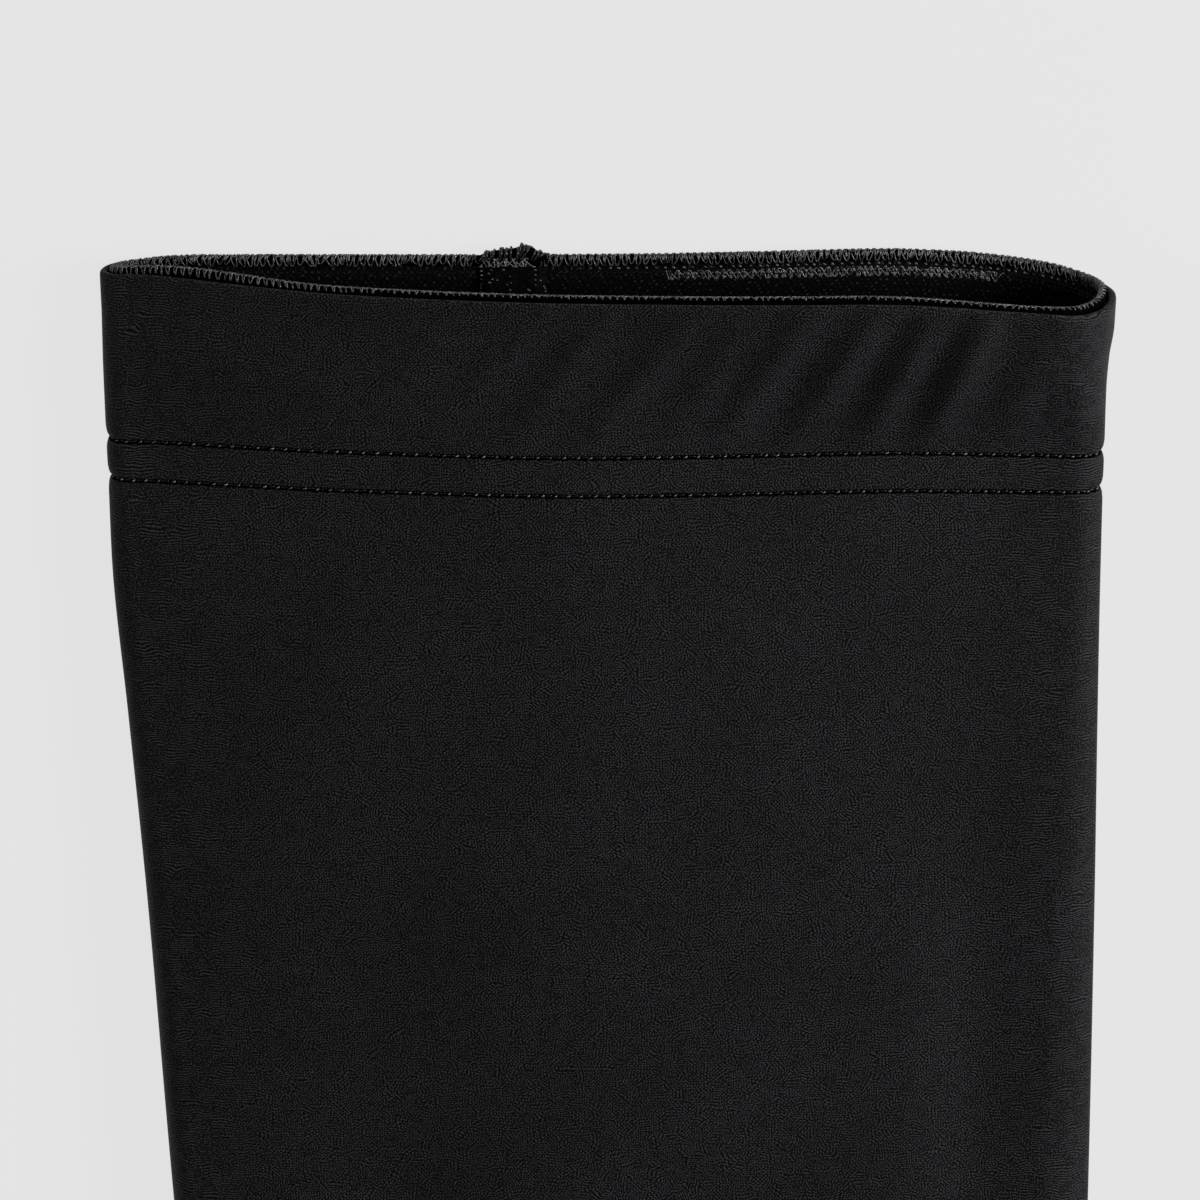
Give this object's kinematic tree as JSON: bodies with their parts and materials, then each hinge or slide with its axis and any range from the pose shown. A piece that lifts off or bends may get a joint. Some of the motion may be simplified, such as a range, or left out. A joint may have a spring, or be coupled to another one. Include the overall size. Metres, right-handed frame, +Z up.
{
  "type": "arm sleeve",
  "caption": "Tapered stretch-knit sleeve for the arm, laid flat, with an elastic-backed top hem, an overlocked rim left slightly open and a plain hem at the wrist.",
  "frame": {"origin": "on the surface the sleeve lies on, under the middle of its outline seen from above", "axes": "+Y along the sleeve towards the upper-arm opening, +Z up out of the surface, +X across the sleeve towards its fuller side fold"},
  "size_m": [0.1302, 0.4028, 0.0184],
  "materials": {
    "sleeve_body": "matt knit",
    "gripper_band": "matt elastic",
    "rim_overlock": "thread",
    "band_join": "thread",
    "back_seam": "thread",
    "wrist_hem": "matt knit"
  },
  "bodies": {
    "root": {"sleeve_body": "sleeve_body", "gripper_band": "gripper_band", "rim_overlock": "rim_overlock", "band_join": "band_join", "back_seam": "back_seam", "wrist_hem": "wrist_hem"}
  },
  "joints": []
}
